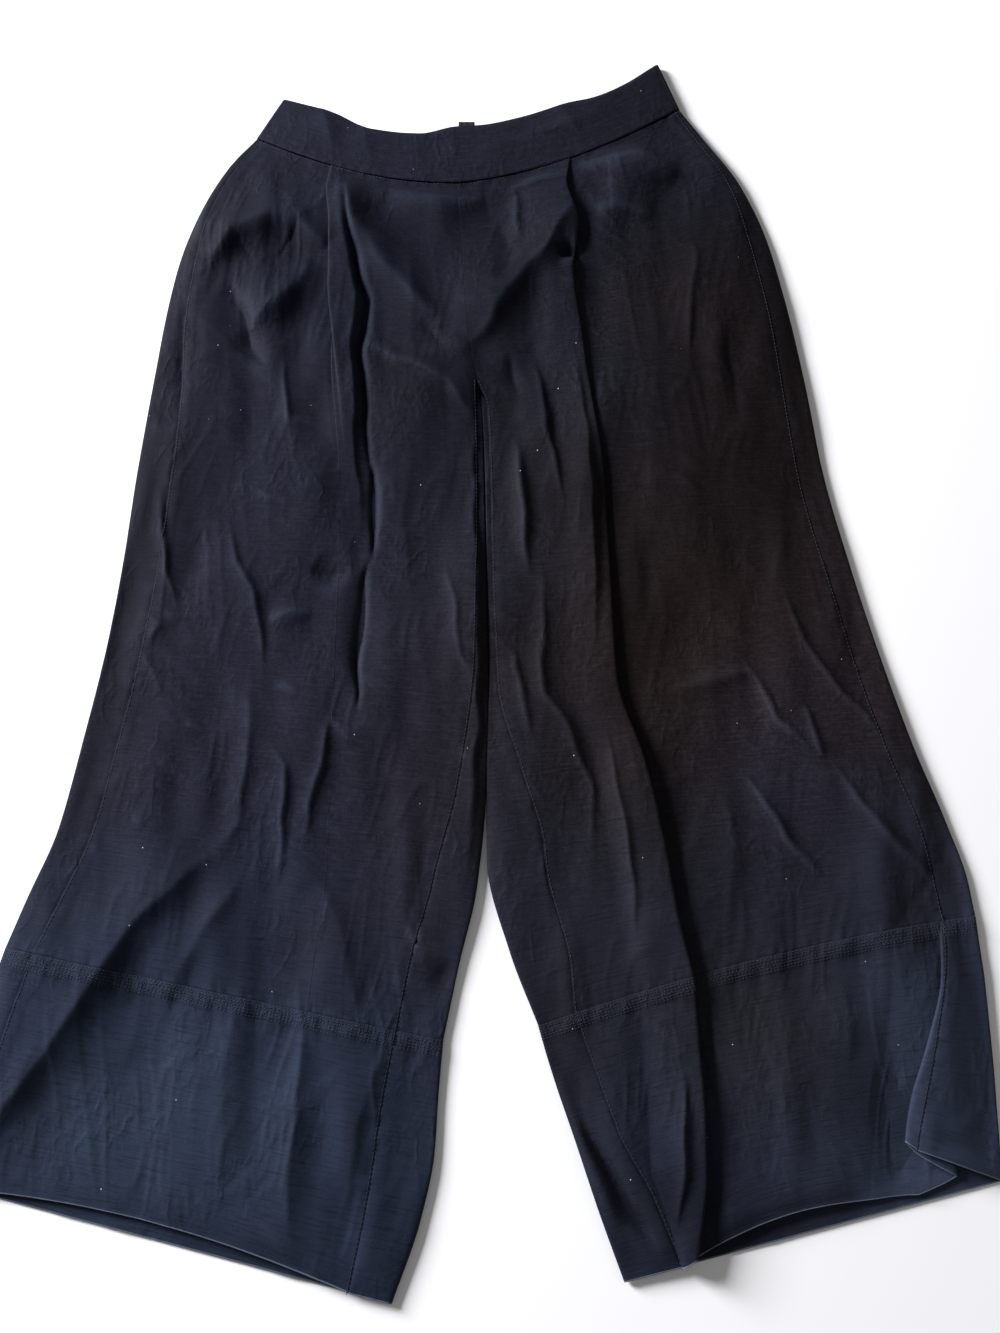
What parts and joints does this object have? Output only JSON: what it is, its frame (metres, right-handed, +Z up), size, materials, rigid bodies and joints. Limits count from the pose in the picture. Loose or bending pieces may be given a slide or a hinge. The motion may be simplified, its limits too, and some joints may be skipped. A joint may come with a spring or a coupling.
{
  "type": "culottes",
  "caption": "Wide cropped trousers laid flat, with a shaped waistband, outward pleats at the front and deep separate hem bands.",
  "frame": {"origin": "centre of the laid garment's bounding box in X and Y, on the surface it lies on", "axes": "+Z up out of the surface, +Y from the hems towards the waist, +X towards the wearer's left; the front of the garment faces up"},
  "size_m": [0.728, 0.986, 0.0163],
  "materials": {
    "navy_cloth": "matt woven cotton, very dark navy",
    "black_tape": "matt black woven tape"
  },
  "bodies": {
    "root": {"waistband_front": "navy_cloth", "waistband_back": "navy_cloth", "back_tab": "black_tape", "right_leg_front": "navy_cloth", "right_leg_back": "navy_cloth", "left_leg_front": "navy_cloth", "left_leg_back": "navy_cloth", "right_hem_band_front": "navy_cloth", "right_hem_band_back": "navy_cloth", "left_hem_band_front": "navy_cloth", "left_hem_band_back": "navy_cloth"}
  },
  "joints": []
}
